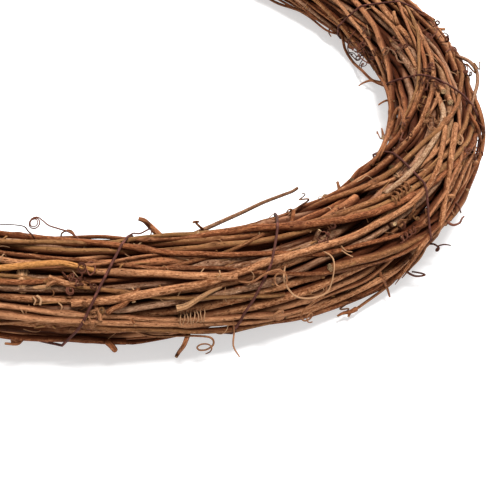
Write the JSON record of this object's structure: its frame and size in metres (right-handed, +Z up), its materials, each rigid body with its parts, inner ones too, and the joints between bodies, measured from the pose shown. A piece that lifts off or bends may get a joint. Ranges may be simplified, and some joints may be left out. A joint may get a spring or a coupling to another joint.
{
  "type": "grapevine wreath",
  "caption": "Round wreath of dry grapevine canes wound side by side into a ring, with curling tendrils and cut spurs, bound by a thin dark wire wrapped round the bundle.",
  "frame": {"origin": "on the surface that the wreath lies on, under the middle of the ring", "axes": "+Z up, out of the wreath's face; X and Y in the plane of the ring"},
  "size_m": [0.3772, 0.3811, 0.0423],
  "materials": {
    "tan_bark": "dry fibrous vine bark, matt",
    "brown_bark": "dry fibrous vine bark, matt",
    "red_bark": "dry fibrous vine bark, matt",
    "grey_bark": "dry fibrous vine bark, matt",
    "wire_coat": "thin dark brown lacquered binding wire"
  },
  "bodies": {
    "root": {"binding_wire": "wire_coat", "core_cane_01": "tan_bark", "core_cane_02": "brown_bark", "inner_cane_01": "red_bark", "inner_cane_02": "grey_bark", "inner_cane_03": "tan_bark", "inner_cane_04": "brown_bark", "inner_cane_05": "red_bark", "inner_cane_06": "grey_bark", "inner_cane_07": "tan_bark", "outer_cane_01": "brown_bark", "outer_cane_02": "red_bark", "outer_cane_03": "grey_bark", "outer_cane_04": "tan_bark", "outer_cane_05": "brown_bark", "outer_cane_06": "red_bark", "outer_cane_07": "grey_bark", "outer_cane_08": "tan_bark", "outer_cane_09": "brown_bark", "outer_cane_10": "red_bark", "outer_cane_11": "grey_bark", "outer_cane_12": "tan_bark", "outer_cane_13": "brown_bark", "outer_cane_14": "red_bark", "outer_cane_15": "grey_bark", "outer_cane_16": "tan_bark", "outer_cane_17": "brown_bark", "outer_cane_18": "red_bark", "outer_cane_19": "grey_bark", "outer_cane_20": "tan_bark", "outer_cane_21": "brown_bark", "outer_cane_22": "red_bark", "outer_cane_23": "grey_bark", "over_cane_01": "tan_bark", "over_cane_02": "brown_bark", "over_cane_03": "red_bark", "over_cane_04": "grey_bark", "over_cane_05": "tan_bark", "over_cane_06": "brown_bark", "over_cane_07": "red_bark", "over_cane_08": "grey_bark", "over_cane_09": "tan_bark", "over_cane_10": "brown_bark", "over_cane_11": "red_bark"}
  },
  "joints": []
}
